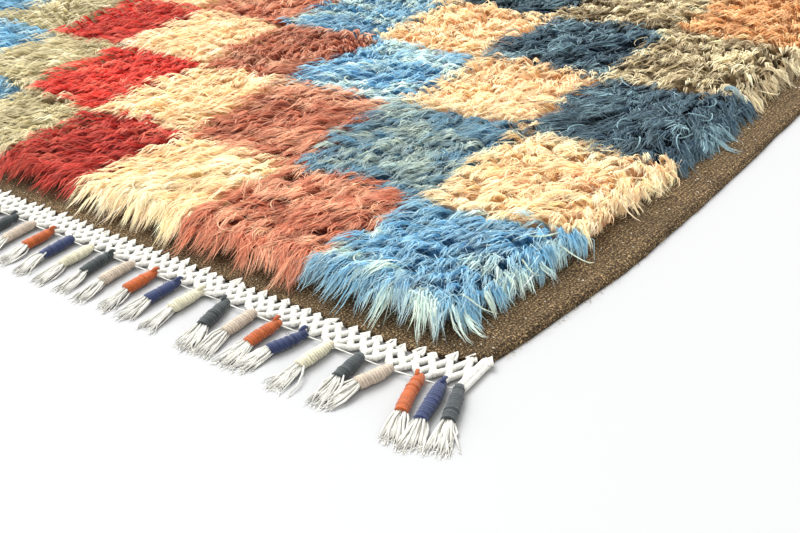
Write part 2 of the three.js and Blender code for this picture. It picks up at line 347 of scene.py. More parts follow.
def tubes(shapes, paths, radii, colours, sides=6, squash=1.0):
    """Closed round strands. paths and colours are (strand, node, 3), and radii is (strand, node)."""
    count, nodes, _ = paths.shape
    along = tangents(paths)
    upright = np.abs(along[..., 2:]) > 0.9
    flat = unit(np.cross(along, np.where(upright, [1.0, 0.0, 0.0], [0.0, 0.0, 1.0])))
    lift = np.cross(flat, along) * squash
    turn = np.arange(sides) * 2 * np.pi / sides
    ring = flat[:, :, None] * np.cos(turn)[:, None] + lift[:, :, None] * np.sin(turn)[:, None]
    rings = paths[:, :, None] + ring * radii[:, :, None, None]
    per = nodes * sides + 2
    points = np.concatenate([rings.reshape(count, -1, 3), paths[:, :1], paths[:, -1:]], axis=1)
    tint = np.repeat(colours, sides, axis=1)
    tint = np.concatenate([tint, colours[:, :1], colours[:, -1:]], axis=1)
    distance = run_along(paths)
    twist = turn + 0.5 * distance[:, :, None] / MM
    spread = np.stack([np.cos(twist), np.sin(twist)], -1) * radii[:, :, None, None]
    spread[..., 1] += np.arange(count)[:, None, None] * GRAIN_SHIFT
    depth = np.broadcast_to(distance[:, :, None, None], (count, nodes, sides, 1))
    grain = np.concatenate([spread, depth], -1)
    ends = np.zeros((count, 2, 3))
    grain = np.concatenate([grain.reshape(count, -1, 3), ends], axis=1)
    here, after = np.arange(sides), (np.arange(sides) + 1) % sides
    wall = np.stack([here, after, sides + after, sides + here], 1)
    quads = [k * sides + wall for k in range(nodes - 1)]
    last = (nodes - 1) * sides
    start_cap = np.stack([np.full(sides, per - 2), after, here], 1)
    end_cap = np.stack([np.full(sides, per - 1), last + here, last + after], 1)
    base = np.arange(count)[:, None, None] * per
    quads = np.concatenate(quads)[None] + base
    tris = np.concatenate([start_cap, end_cap])[None] + base
    shapes.add(points.reshape(-1, 3), quads, tris, tint.reshape(-1, 3), grain.reshape(-1, 3))


def ring_faces(rings, sides):
    """Faces between rings of points, and fans to two more points that close the first and last ring."""
    number = np.arange(rings * sides).reshape(rings, sides)
    after = np.roll(number, -1, axis=1)
    quads = np.stack([number[:-1], number[1:], after[1:], after[:-1]], -1).reshape(-1, 4)
    first, last = np.full(sides, rings * sides), np.full(sides, rings * sides + 1)
    start_cap = np.stack([first, number[0], after[0]], -1)
    end_cap = np.stack([last, after[-1], number[-1]], -1)
    return quads, np.concatenate([start_cap, end_cap])


def slab(shapes, x, y, z, foot, colours):
    """A closed slab: a grid on top, walls round its rim, and a flat underside at the given height."""
    top = np.stack([x, y, z], -1).reshape(-1, 3)
    number = np.arange(len(top)).reshape(z.shape)
    quads = np.stack([number[:-1, :-1], number[:-1, 1:], number[1:, 1:], number[1:, :-1]], -1).reshape(-1, 4)
    rim = np.concatenate([number[0, :-1], number[:-1, -1], number[-1, :0:-1], number[:0:-1, 0]])
    below = len(top) + np.arange(len(rim))
    centre = np.full(len(rim), len(top) + len(rim))
    walls = np.stack([rim, below, np.roll(below, -1), np.roll(rim, -1)], -1)
    underside = np.stack([np.roll(below, -1), below, centre], -1)
    feet = top[rim].copy()
    feet[:, 2] = foot
    points = np.concatenate([top, feet, [[0, 0, foot]]])
    tint = np.concatenate([colours, colours[rim], colours[:1]])
    shapes.add(points, np.concatenate([quads, walls]), underside, tint, points)


# Materials
def new_material(name, roughness, sheen):
    material = bpy.data.materials.new(name)
    material.use_nodes = True
    shader = material.node_tree.nodes["Principled BSDF"]
    shader.inputs["Roughness"].default_value = roughness
    shader.inputs["Specular IOR Level"].default_value = 0.25
    shader.inputs["Sheen Weight"].default_value = sheen
    shader.inputs["Sheen Roughness"].default_value = 0.6
    return material, material.node_tree.nodes, material.node_tree.links, shader


def noise_node(nodes, links, coordinates, scale, detail, stretch=(1, 1, 1)):
    mapping = nodes.new("ShaderNodeMapping")
    mapping.inputs["Scale"].default_value = stretch
    links.new(coordinates, mapping.inputs["Vector"])
    noise = nodes.new("ShaderNodeTexNoise")
    noise.inputs["Scale"].default_value = scale
    noise.inputs["Detail"].default_value = detail
    links.new(mapping.outputs["Vector"], noise.inputs["Vector"])
    return noise.outputs["Fac"]


def brightened(nodes, links, colour, factor, low, high):
    """The colour times a factor that runs from low to high over the middle of a noise."""
    span = nodes.new("ShaderNodeMapRange")
    span.inputs["From Min"].default_value = 0.3
    span.inputs["From Max"].default_value = 0.7
    span.inputs["To Min"].default_value = low
    span.inputs["To Max"].default_value = high
    links.new(factor, span.inputs["Value"])
    scaled = nodes.new("ShaderNodeVectorMath")
    scaled.operation = "SCALE"
    links.new(colour, scaled.inputs[0])
    links.new(span.outputs["Result"], scaled.inputs["Scale"])
    return scaled.outputs["Vector"]


def add_bump(nodes, links, shader, height, distance, strength):
    bump = nodes.new("ShaderNodeBump")
    bump.inputs["Distance"].default_value = distance
    bump.inputs["Strength"].default_value = strength
    links.new(height, bump.inputs["Height"])
    links.new(bump.outputs["Normal"], shader.inputs["Normal"])


def fibre_material(name, roughness, sheen, bump, through):
    """Yarn or wool coloured by its points and streaked along its fibres, letting some light through."""
    material, nodes, links, shader = new_material(name, roughness, sheen)
    dye = nodes.new("ShaderNodeAttribute")
    dye.attribute_name = "DyeAndShade"
    place = nodes.new("ShaderNodeAttribute")
    place.attribute_name = "Grain"
    fibres = noise_node(nodes, links, place.outputs["Vector"], 1300, 2, (1, 1, 0.08))
    # Streaks along the fibres: partly their own tone, partly painted shade, darker where the same noise
    # sinks the bump
    colour = brightened(nodes, links, dye.outputs["Color"], fibres, 0.72, 1.25)
    links.new(colour, shader.inputs["Base Color"])
    add_bump(nodes, links, shader, fibres, 0.5 * MM, bump)
    translucent = nodes.new("ShaderNodeBsdfTranslucent")
    links.new(colour, translucent.inputs["Color"])
    mix = nodes.new("ShaderNodeMixShader")
    mix.inputs["Fac"].default_value = through
    links.new(shader.outputs["BSDF"], mix.inputs[1])
    links.new(translucent.outputs["BSDF"], mix.inputs[2])
    links.new(mix.outputs["Shader"], nodes["Material Output"].inputs["Surface"])
    return material


def ground_material():
    """Heathered brown wool in a weft-faced weave."""
    material, nodes, links, shader = new_material("ground_wool", 1.0, 0.0)
    place = nodes.new("ShaderNodeTexCoord").outputs["Object"]
    heather = noise_node(nodes, links, place, 1000, 3, (0.65, 1, 1))
    ramp = nodes.new("ShaderNodeValToRGB")
    stops = [
        (0.34, srgb(30, 22, 14)),
        (0.47, srgb(66, 51, 33)),
        (0.56, srgb(100, 80, 53)),
        (0.68, srgb(178, 153, 114)),
    ]
    ramp.color_ramp.elements.new(0.5)
    ramp.color_ramp.elements.new(0.5)
    for element, (position, colour) in zip(ramp.color_ramp.elements, stops):
        element.position = position
        element.color = (*colour, 1)
    links.new(heather, ramp.inputs["Fac"])
    patches = noise_node(nodes, links, place, 40, 2, (0.3, 1, 1))
    ribs = nodes.new("ShaderNodeTexWave")
    ribs.inputs["Scale"].default_value = 0.1 * math.pi / RIB_PITCH
    ribs.inputs["Distortion"].default_value = 1.2
    ribs.inputs["Detail Scale"].default_value = 200
    links.new(place, ribs.inputs["Vector"])
    colour = brightened(nodes, links, ramp.outputs["Color"], patches, 0.8, 1.15)
    # Painted shade: the ground is darker in the troughs of the ribs, from the same waves that make its bump
    colour = brightened(nodes, links, colour, ribs.outputs["Fac"], 0.78, 1.1)
    links.new(colour, shader.inputs["Base Color"])
    height = nodes.new("ShaderNodeMath")
    height.operation = "MULTIPLY_ADD"
    height.inputs[1].default_value = 0.5
    links.new(ribs.outputs["Fac"], height.inputs[0])
    links.new(heather, height.inputs[2])
    add_bump(nodes, links, shader, height.outputs["Value"], 1.2 * MM, 0.9)
    return material


PILE_WOOL = fibre_material("pile_wool", 0.8, 0.1, 0.5, 0.45)
COTTON = fibre_material("fringe_cotton", 0.85, 0.2, 0.6, 0.15)
WRAP_YARN = fibre_material("wrap_yarn", 0.85, 0.2, 0.8, 0.0)
GROUND_WOOL = ground_material()


# Ground weave
def edge_stations(half, near_step, near_width, far_step):
    """Positions from -half to half, close together near the edges and further apart between them."""
    near = np.arange(0, near_width, near_step)
    inner = half - near_width
    count = max(2, round(2 * inner / far_step))
    return np.concatenate([-half + near, np.linspace(-inner, inner, count + 1), (half - near)[::-1]])


def ground_height(from_side):
    cord = np.where(from_side < CORD_WIDTH, CORD_RISE * np.sin(np.pi * from_side / CORD_WIDTH), 0)
    rounding = np.clip(from_side / (3 * MM), 0, 1)
    return (GROUND_THICK + cord) * (0.55 + 0.45 * np.sqrt(1 - (1 - rounding) ** 2))


def make_ground():
    """The flat-woven sheet, with a cord along each side and the weft's unevenness on top."""
    columns = edge_stations(HALF_WIDTH, 2.4 * MM, 48 * MM, 140 * MM)
    rows = edge_stations(HALF_LENGTH, 3 * MM, 42 * MM, 8 * MM)
    u, v = np.meshgrid(columns, rows)
    uneven = 1.6 * MM * (field(np.sign(u), v, 0.3, 16 * MM, 13) - 0.5)
    x = u / HALF_WIDTH * (side_at(v) + uneven)
    y = v / HALF_LENGTH * end_at(x)
    ripple = 0.6 * MM * (field(x, y, 9 * MM, 4 * MM, 11) - 0.5)
    sway = 0.6 * MM * (field(x, y, 40 * MM, 25 * MM, 12) - 0.5)
    z = ground_height(HALF_WIDTH - np.abs(u)) + ripple + sway
    shapes = Shapes()
    slab(shapes, x, y, z, 0, np.full((x.size, 3), 0.2))
    return shapes.piece("ground_sheet", GROUND_WOOL, "ground_wool", "ground_weave")


def border_places(count, inner, outer):
    """Places on the bare border, from inner to outer metres in from the edge of the ground."""
    on_side = RNG.random(count) < 0.6
    sign = RNG.choice([-1, 1], count)
    depth = RNG.uniform(inner, outer, count)
    y = np.where(on_side, RNG.uniform(-HALF_LENGTH, HALF_LENGTH, count), 0)
    x = np.where(on_side, sign * (side_at(y) - depth), RNG.uniform(-HALF_WIDTH, HALF_WIDTH, count) * 0.96)
    y = np.where(on_side, y * 0.96, sign * (end_at(x) - depth))
    return x, y


def make_flecks(count=520):
    """Small white flecks where the warp shows through the weft."""
    x, y = border_places(count, 8 * MM, 36 * MM)
    turn = RNG.normal(0, 0.6, count)[:, None]
    length = RNG.uniform(0.8, 2.6, count)[:, None] * MM
    step = np.array([-0.5, 0, 0.5])[None]
    height = ground_height(np.maximum(0, side_at(y) - np.abs(x)))[:, None]
    paths = np.stack([
        x[:, None] + np.cos(turn) * length * step,
        y[:, None] + np.sin(turn) * length * step,
        height + 0.3 * MM * (1 - 4 * step**2) * np.ones((count, 1)),
    ], -1)
    radii = RNG.uniform(0.3, 0.55, count)[:, None] * MM * np.array([0.4, 1, 0.4])[None]
    shapes = Shapes()
    tubes(shapes, paths, radii, np.broadcast_to(srgb(210, 202, 184), (count, 3, 3)), sides=3)
    return shapes.piece("warp_flecks", COTTON, "ground_wool", "ground_weave")


def make_fuzz(count=3200):
    """Short hairs along the sides and over the border of the ground."""
    edge = RNG.random(count) < 0.6
    x, y = border_places(count, 0, 34 * MM)
    sign = RNG.choice([-1, 1], count)
    y = np.where(edge, RNG.uniform(-0.97, 0.97, count) * HALF_LENGTH, y)
    x = np.where(edge, sign * (side_at(y) - 0.5 * MM), x)
    z = np.where(edge, RNG.uniform(0.5, 4.5, count) * MM, ground_height(side_at(y) - np.abs(x)))
    outward = np.where(sign > 0, 0, np.pi) + RNG.normal(0, 0.8, count)
    turn = np.where(edge, outward, RNG.uniform(0, 6.3, count))
    reach = RNG.uniform(1.2, 3.6, count) * MM
    ahead = np.stack([np.cos(turn), np.sin(turn), np.where(edge, RNG.normal(0, 0.25, count), 0.35)], -1)
    start = np.stack([x, y, z], -1)
    bow = RNG.normal(0, 0.4 * MM, (count, 3))
    tip = start + ahead * reach[:, None]
    paths = np.stack([start, (start + tip) / 2 + bow, tip], 1)
    paths[..., 2] = np.maximum(paths[..., 2], 0.2 * MM)
    widths = np.broadcast_to(np.array([0.4, 0.3, 0]) * MM, (count, 3))
    browns = np.array([srgb(70, 54, 36), srgb(112, 90, 62), srgb(170, 148, 112)])[RNG.integers(0, 3, count)]
    shapes = Shapes()
    ribbons(shapes, paths, widths, RNG.normal(0, 0.5, count), np.repeat(browns[:, None], 3, axis=1))
    return shapes.piece("ground_fuzz", PILE_WOOL, "ground_wool", "ground_weave")


# Pile
def check_lines(count, size, drift):
    return np.array([line * size - drift.get(line, 0) for line in range(1, count)])


def check_of(across, along):
    """Column from the right side and row from the front end of the check at a place in the pile."""
    from_side = (1 - across) * PILE_HALF_WIDTH
    from_front = (1 + along) * PILE_HALF_LENGTH
    aside = LINE_WAVER * (field(from_side, from_front, 60 * MM, 30 * MM, 61) - 0.5)
    ahead = LINE_WAVER * (field(from_side, from_front, 30 * MM, 60 * MM, 62) - 0.5)
    column = np.searchsorted(check_lines(COLUMNS, CHECK_WIDTH, COLUMN_DRIFT), from_side + aside)
    row = np.searchsorted(check_lines(ROWS, CHECK_LENGTH, ROW_DRIFT), from_front + ahead)
    return column, row


def dye_of(column, row):
    return (column - row + FIRST_DIAGONAL) % len(DYES)


def dye_table(index):
    return np.stack([np.asarray(dye[index], float) for dye in DYES])


# The third column is the dark tone used for painted shade low in the pile
BODY, PALE, DEEP_SHADE = dye_table(1), dye_table(2), dye_table(3)
PALE_SHARE, DYE_LENGTH, DYE_CURL = dye_table(4), dye_table(5), dye_table(6)


def knot_places():
    """Places of the knots in the pile's own rectangle: a close grid, and more of them along the rim."""
    rows, columns = ROWS * KNOT_ROWS_PER_CHECK, COLUMNS * KNOTS_PER_CHECK
    row, column = [a.ravel() for a in np.meshgrid(np.arange(rows), np.arange(columns), indexing="ij")]
    across = 2 * (column + 0.5 + RNG.uniform(-0.35, 0.35, len(row))) / columns - 1
    along = 2 * (row + 0.5 + RNG.uniform(-0.3, 0.3, len(row))) / rows - 1
    front = np.linspace(-1, 1, round(2 * PILE_HALF_WIDTH / FRONT_RIM_PITCH))
    back = np.linspace(-1, 1, round(2 * PILE_HALF_WIDTH / RIM_PITCH))
    side = np.linspace(-1, 1, round(2 * PILE_HALF_LENGTH / RIM_PITCH))
    rim_across = np.concatenate([front, back, np.full(len(side), -1), np.full(len(side), 1)])
    rim_along = np.concatenate([np.full(len(front), -1), np.full(len(back), 1), side, side])
    elsewhere = len(back) + 2 * len(side)
    depth = np.concatenate([np.full(len(front), FRONT_RIM_DEPTH), np.full(elsewhere, RIM_DEPTH)])
    inward = 1 - RNG.uniform(0, depth)
    return np.concatenate([across, rim_across * inward]), np.concatenate([along, rim_along * inward])


def make_locks():
    """One lock for each knot, as a dictionary of arrays."""
    across, along = knot_places()
    count = len(across)
    x, y = pile_root(across, along)
    y = y + KNOT_SET_BACK * (1 - along) / 2
    check_column, check_row = check_of(across, along)
    dye = dye_of(check_column, check_row)
    from_side = np.maximum(0, side_at(y) - SELVEDGE - np.abs(x))
    rim = np.exp(-(from_side / SPLAY_WIDTH) ** 2)
    front = np.exp(-((1 + along) * PILE_HALF_LENGTH / SPLAY_WIDTH) ** 2)
    brushed = math.radians(50) * (field(x, y, 75 * MM, 60 * MM, 21) - 0.5)
    clumped = math.radians(42) * DYE_CURL[dye] * (field(x, y, 15 * MM, 21 * MM, 22) - 0.5)
    pit = smooth_step(0.7, 0.9, field(x, y, 13 * MM, 10 * MM, 24)) * np.minimum(1.3, DYE_CURL[dye])
    heading = -math.pi / 2 + SPLAY_ANGLE * rim * np.sign(x) + brushed + clumped * (1 - 0.6 * front)
    reach = LOCK_REACH * DYE_LENGTH[dye] * RNG.uniform(0.75, 1.2, count)
    reach = reach * (1 - RIM_SHORTENING * rim) * (1 - PIT_SHORTENING * pit)
    turned_back = (along > 0.99) & (RNG.random(count) < 0.7)
    heading = np.where(turned_back, math.pi / 2 + RNG.normal(0, 0.4, count), heading)
    reach = np.where(turned_back, 0.35 * reach, reach)
    tone = 1 + 0.08 * stray(check_column * 7 + check_row * 3, 5) + RNG.normal(0, 0.07, count)
    for (tone_column, tone_row), factor in CHECK_TONES.items():
        tone[(check_column == tone_column) & (check_row == tone_row)] *= factor
    threshold = 1 - PALE_SHARE[dye] * 1.3
    pale = smooth_step(threshold, threshold + 0.1, field(x, y, 52 * MM, 10 * MM, 31))
    return {
        "x": x,
        "y": y,
        "heading": heading + RNG.normal(0, math.radians(8), count),
        "reach": reach,
        "curl": DYE_CURL[dye] * RNG.uniform(0.3, 1.5, count) * 2 * MM,
        "phase": RNG.uniform(0, 2 * np.pi, count),
        "height": 0.82 + 0.34 * field(x, y, 12 * MM, 11 * MM, 23) - 0.18 * pit + RNG.normal(0, 0.05, count),
        "droop": RNG.uniform(0, 2.5, count) * MM + rim * RNG.uniform(4, 10, count) * MM,
        "dye": dye,
        "tone": tone,
        "pale": pale * RNG.uniform(0.3, 1, count),
        # Darker patches spread at random, and painted shade in the pits between shorter, lower locks
        "patch_and_pit_shade": np.maximum(smooth_step(0.6, 0.85, field(x, y, 24 * MM, 13 * MM, 41)), 0.6 * pit),
    }


def show_locks():
    """Pale locks that stand out from their neighbours, with the same columns as the others."""
    names = [dye[0] for dye in DYES]
    count = len(SHOW_LOCKS)
    dye, aside, ahead, heading, reach = zip(*SHOW_LOCKS)
    return {
        "x": HALF_WIDTH - np.array(aside) * MM,
        "y": np.array(ahead) * MM - HALF_LENGTH,
        "heading": np.radians(heading),
        "reach": np.array(reach) * MM,
        "curl": np.full(count, 2.5 * MM),
        "phase": np.linspace(0, 5, count),
        "height": np.full(count, 1.05),
        "droop": np.zeros(count),
        "dye": np.array([names.index(name) for name in dye]),
        "tone": np.ones(count),
        "pale": np.full(count, 0.72),
        "patch_and_pit_shade": np.zeros(count),
    }


def lock_colours(locks, pick, steps, spread):
    """Colours from the root, painted dark as shade low in the pile, to the paler tip of each fibre of the
    picked locks.
    """
    dye = locks["dye"][pick]
    tone = (locks["tone"][pick] * (1 + RNG.normal(0, spread, len(pick))))[:, None, None]
    pale = np.clip(locks["pale"][pick] + RNG.normal(0, spread, len(pick)), 0, 1)[:, None, None]
    # Blend towards the dark tone: darker patches at random, and painted shade in the pits
    patch_and_pit_shade = 0.55 * locks["patch_and_pit_shade"][pick][:, None, None]
    step = steps[None, :, None]
    body = BODY[dye][:, None] * (1 - patch_and_pit_shade) + DEEP_SHADE[dye][:, None] * patch_and_pit_shade
    body = body * (1 - pale) + PALE[dye][:, None] * pale
    # Painted shade: each fibre starts dark at its root, low in the pile, and reaches its body colour nearly
    # halfway along
    root = 0.7 * DEEP_SHADE[dye][:, None] + 0.3 * body
    out_of_root_shade = smooth_step(0.0, 0.45, step)
    tipped = 0.4 * smooth_step(0.45, 1.0, step)
    colour = root * (1 - out_of_root_shade) + body * out_of_root_shade
    colour = colour * (1 - tipped) + PALE[dye][:, None] * tipped
    return np.clip(colour * tone, 0.004, 0.97)


def lock_paths(locks, pick, aside, lift, step):
    """Paths of fibres in the picked locks: up from the knot, over with the lean, and drooping at the tip."""
    count = len(pick)
    t = step[None]
    heading = locks["heading"][pick][:, None]
    reach = (locks["reach"][pick] * RNG.uniform(0.72, 1.1, count))[:, None]
    leaf = LOCK_HALF_WIDTH * np.interp(step, [0, 0.4, 0.75, 1], [0.7, 1, 1.1, 0.95])[None]
    curl = locks["curl"][pick][:, None] * np.sin(2 * np.pi * 1.1 * t + locks["phase"][pick][:, None])
    crimp = CRIMP * np.sin(2 * np.pi * 2.3 * t + RNG.uniform(0, 2 * np.pi, (count, 1)))
    sideways = aside[:, None] * leaf + (curl + crimp) * t
    x = locks["x"][pick][:, None] + np.cos(heading) * reach * t - np.sin(heading) * sideways
    y = locks["y"][pick][:, None] + np.sin(heading) * reach * t + np.cos(heading) * sideways
    rise = 1 - (1 - t) ** 3
    z = GROUND_THICK + 0.5 * MM + pile_top(x, y) * rise * locks["height"][pick][:, None]
    dome = (1 - np.minimum(1, aside[:, None] ** 2)) * 1.2 * MM + lift[:, None]
    droop = locks["droop"][pick][:, None] * smooth_step(0.45, 1, t)
    z = z + dome * np.sin(np.pi * np.clip(t, 0, 0.8)) - droop
    return np.stack([x, y, np.maximum(z, GROUND_THICK + 0.4 * MM)], -1)


def lock_fibres(shapes, locks, chosen, per_lock, nodes, width):
    """Fibres of the chosen locks, a few of them straying."""
    pick = np.repeat(chosen, per_lock)
    count = len(pick)
    step = np.linspace(0, 1, nodes)
    strays = RNG.random(count) < 0.1
    aside = RNG.uniform(-1, 1, count) * np.where(strays, 2.4, 1)
    lift = np.where(strays, RNG.uniform(0, 3, count), RNG.uniform(-1, 1.2, count)) * MM
    paths = lock_paths(locks, pick, aside, lift, step)
    taper = np.interp(step, [0, 0.2, 0.6, 1], [0.7, 1, 0.85, 0])
    widths = width * RNG.uniform(0.6, 1.4, count)[:, None] * taper
    rolls = RNG.normal(0, math.radians(28), count)
    ribbons(shapes, paths, widths, rolls, lock_colours(locks, pick, step, 0.11))


def flyaways(shapes, locks, chosen, width):
    """Single loose hairs that curl over the chosen locks."""
    count = len(chosen)
    step = np.linspace(0, 1, 5)
    t = step[None]
    paths = lock_paths(locks, chosen, RNG.uniform(-2, 2, count), RNG.uniform(1, 4, count) * MM, step)
    angle = RNG.uniform(0, 2 * np.pi, count)
    drift = RNG.uniform(0, 9, count) * MM
    bow = RNG.normal(0, 4 * MM, (count, 1)) * np.sin(np.pi * t * 1.5)
    paths[..., 0] += (drift * np.cos(angle))[:, None] * t**2 + bow
    paths[..., 1] += (drift * np.sin(angle))[:, None] * t**2 + 0.5 * bow
    widths = width * np.interp(step, [0, 0.2, 0.7, 1], [0.6, 1, 0.8, 0])[None] * np.ones((count, 1))
    colours = lock_colours(locks, chosen, step * 0.4 + 0.6, 0.2)
    ribbons(shapes, paths, widths, RNG.uniform(-1, 1, count), colours)


def curls(shapes, locks, chosen, nodes=7):
    """Pale yarn ends that stand out of the pile and hook over on top of it."""
    count = len(chosen)
    step = np.linspace(0, 1, nodes)
    start = locks["heading"][chosen] + RNG.normal(0, 0.5, count)
    hook = RNG.uniform(0.8, 2.6, count) * RNG.choice([-1, 1], count)
    direction = start[:, None] + hook[:, None] * step[None] ** 2
    stride = RNG.uniform(17, 32, count)[:, None] * MM / (nodes - 1)
    x = locks["x"][chosen][:, None] + np.cumsum(np.cos(direction) * stride, axis=1)
    y = locks["y"][chosen][:, None] + np.cumsum(np.sin(direction) * stride, axis=1)
    arch = RNG.uniform(1, 4, count)[:, None] * MM * np.sin(np.pi * step)[None]
    z = GROUND_THICK + pile_top(x, y) * np.interp(step, [0, 0.2, 1], [0.8, 1, 1]) + arch
    taper = np.interp(step, [0, 0.3, 0.8, 1], [0.7, 1, 0.8, 0.2])
    radii = RNG.uniform(0.5, 0.9, count)[:, None] * MM * taper
    pale = PALE[locks["dye"][chosen]][:, None] * RNG.uniform(0.8, 1.05, (count, 1, 1))
    shade = np.interp(step, [0, 0.3, 1], [0.55, 1, 1])[None, :, None]
    tubes(shapes, np.stack([x, y, z], -1), radii, np.minimum(pale * shade, 0.97), sides=3)


def make_pile():
    locks, shown = make_locks(), show_locks()
    away = np.hypot(locks["x"] - HALF_WIDTH, locks["y"] + HALF_LENGTH)
    pieces = []
    for number, dye in enumerate(DYES):
        shapes = Shapes()
        inner = 0
        mine = locks["dye"] == number
        for radius, per_lock, nodes, width in FIBRE_LEVELS:
            chosen = np.flatnonzero(mine & (away >= inner) & (away < radius))
            lock_fibres(shapes, locks, chosen, per_lock, nodes, width)
            inner = radius
        close = np.flatnonzero(mine & (away < FIBRE_LEVELS[0][0]))
        flyaways(shapes, locks, np.concatenate([close, close]), FLYAWAY_WIDTH)
        loose = RNG.random(len(away)) < LOOSE_HAIR_SHARE
        between = np.flatnonzero(mine & (away < FIBRE_LEVELS[1][0]) & loose)
        flyaways(shapes, locks, between, 1.5 * FLYAWAY_WIDTH)
        lock_fibres(shapes, shown, np.flatnonzero(shown["dye"] == number), *SHOW_FIBRES)
        curly = mine & (RNG.random(len(away)) < CURL_SHARE * DYE_CURL[number] ** 2)
        curls(shapes, locks, np.flatnonzero(curly))
        pieces.append(shapes.piece("pile_" + dye[0], PILE_WOOL, "pile_wool", "pile"))
    return pieces


def make_bed():
    """The pile's dense lower half, coloured with the dark tone as painted shade between the locks."""
    columns, rows = np.linspace(-BED_ACROSS, BED_ACROSS, 71), np.linspace(-BED_ALONG, BED_ALONG, 101)
    across, along = np.meshgrid(columns, rows)
    x, y = pile_root(across, along)
    y = y + KNOT_SET_BACK * (1 - along) / 2
    dye = dye_of(*check_of(across, along))
    z = GROUND_THICK + 0.4 * MM + pile_top(x, y) * (0.3 + 0.25 * field(x, y, 14 * MM, 14 * MM, 51))
    shapes = Shapes()
    # Painted shade: the bed takes mostly the dark tone of its check's dye
    slab(shapes, x, y, z, GROUND_THICK + 0.3 * MM, (0.6 * DEEP_SHADE + 0.4 * BODY)[dye].reshape(-1, 3))
    return shapes.piece("pile_bed", PILE_WOOL, "pile_wool", "pile")


# Fringe
def tassel_row():
    """Every tassel of one end, from the right side to the left: place, lean and length of the head."""
    right = [(HALF_WIDTH - inset * MM, lean, head * MM) for inset, lean, head in CORNER_TASSELS]
    left = [(-x, -lean, head) for x, lean, head in reversed(right)]
    start = right[-1][0]
    steps = round(2 * start / TASSEL_PITCH)
    between = [
        (
            start - 2 * start * (i + 1) / steps + TASSEL_STRAY["place"] * stray(i, 1),
            TASSEL_STRAY["lean"] * stray(i, 2),
            TASSEL_HEAD + TASSEL_STRAY["head"] * stray(i, 3),
        )
        for i in range(steps - 1)
    ]
    return np.array(right + between + left)


def yarn_of(number):
    return YARN_COLOURS["dark" if number == 0 else YARN_REPEAT[(number - 1) % len(YARN_REPEAT)]]


def tassel_axes(lean):
    """Directions along and across a tassel that leans by this angle."""
    along = np.array([math.sin(lean), -math.cos(lean), 0])
    across = np.array([math.cos(lean), math.sin(lean), 0])
    return along, across


def wrapped_head(shapes, root, lean, length, colour):
    """A tassel head: yarn wound round the strands, ridged by its turns and narrower at the neck."""
    turns = round(length / YARN)
    sides, nodes = 10, 3 * turns + 1
    t = np.linspace(0, 1, nodes)[:, None]
    angle = np.linspace(0, 2 * np.pi, sides, endpoint=False)[None]
    slant = RNG.normal(0, 0.35) * np.cos(angle + RNG.uniform(0, 6))
    winding = np.maximum(0, turns * t - angle / (2 * np.pi) + slant + 1)
    ridge = np.abs(np.sin(np.pi * winding))
    turn = np.floor(winding).astype(int)
    uneven = RNG.normal(0, 0.045, turns + 4)[turn]
    swell = np.interp(t, [0, 0.12, 0.35, 0.8, 1], [0.66, 0.84, 1, 1.02, 0.94])
    swell = swell + 0.05 * np.sin(4 * t + RNG.uniform(0, 6))
    radius = HEAD_RADIUS * (swell + uneven) + 0.5 * MM * ridge - 0.3 * MM
    direction, side = tassel_axes(lean)
    bend = RNG.normal(0, 0.7 * MM) * np.sin(np.pi * t)
    centre = root + direction * (t * length)[..., None] + side * bend[..., None]
    across, up = radius * np.cos(angle), 0.9 * radius * np.sin(angle)
    rings = centre + side * across[..., None] + np.array([0, 0, 1]) * up[..., None]
    rings[..., 2] = np.maximum(rings[..., 2], 0.1 * MM)
    tone = RNG.uniform(0.85, 1.15, turns + 4)[turn]
    # Painted shade in the grooves between the turns of yarn
    groove_shade = 0.5 + 0.5 * smooth_step(0, 0.7, ridge)
    tint = np.minimum(colour * (tone * groove_shade)[..., None], 0.95)
    points = np.concatenate([rings.reshape(-1, 3), centre[0], centre[-1]])
    tints = np.concatenate([tint.reshape(-1, 3), tint[0, :1], tint[-1, :1]])
    shapes.add(points, *ring_faces(nodes, sides), tints, points)


def yarn_stub(shapes, root, lean, colour):
    """The tucked end of the wrapping yarn, a short loop at the neck."""
    direction, side = tassel_axes(lean)
    side = side * RNG.choice([-1, 1])
    along, out, up = np.array(YARN_END).T * MM
    path = root + direction * along[:, None] + side * out[:, None]
    path[:, 2] += up
    tint = np.broadcast_to(colour * 0.9, (1, len(YARN_END), 3))
    tubes(shapes, path[None], np.array([[1.5, 1.6, 1.5, 1.0]]) * MM, tint, sides=6)


def head_fuzz(shapes, root, lean, length, colour, count=14):
    """Short hairs standing off a head."""
    t, angle = RNG.uniform(0.05, 0.95, count), RNG.uniform(-0.3, np.pi + 0.3, count)
    direction, side = tassel_axes(lean)
    out = side * np.cos(angle)[:, None] + np.array([0, 0, 0.9]) * np.sin(angle)[:, None]
    start = root + direction * (t * length)[:, None] + out * HEAD_RADIUS * 0.9
    sweep = direction * RNG.normal(0, 1.6 * MM, count)[:, None]
    reach = out * RNG.uniform(1.2, 2.6, count)[:, None] * MM
    paths = np.stack([start, start + 0.6 * reach + 0.4 * sweep, start + reach + sweep], 1)
    paths[..., 2] = np.maximum(paths[..., 2], 0.2 * MM)
    widths = np.broadcast_to(np.array([0.3, 0.25, 0]) * MM, (count, 3))
    tint = np.broadcast_to(np.minimum(colour * 1.2, 0.95), (count, 3, 3))
    ribbons(shapes, paths, widths, np.zeros(count), tint)


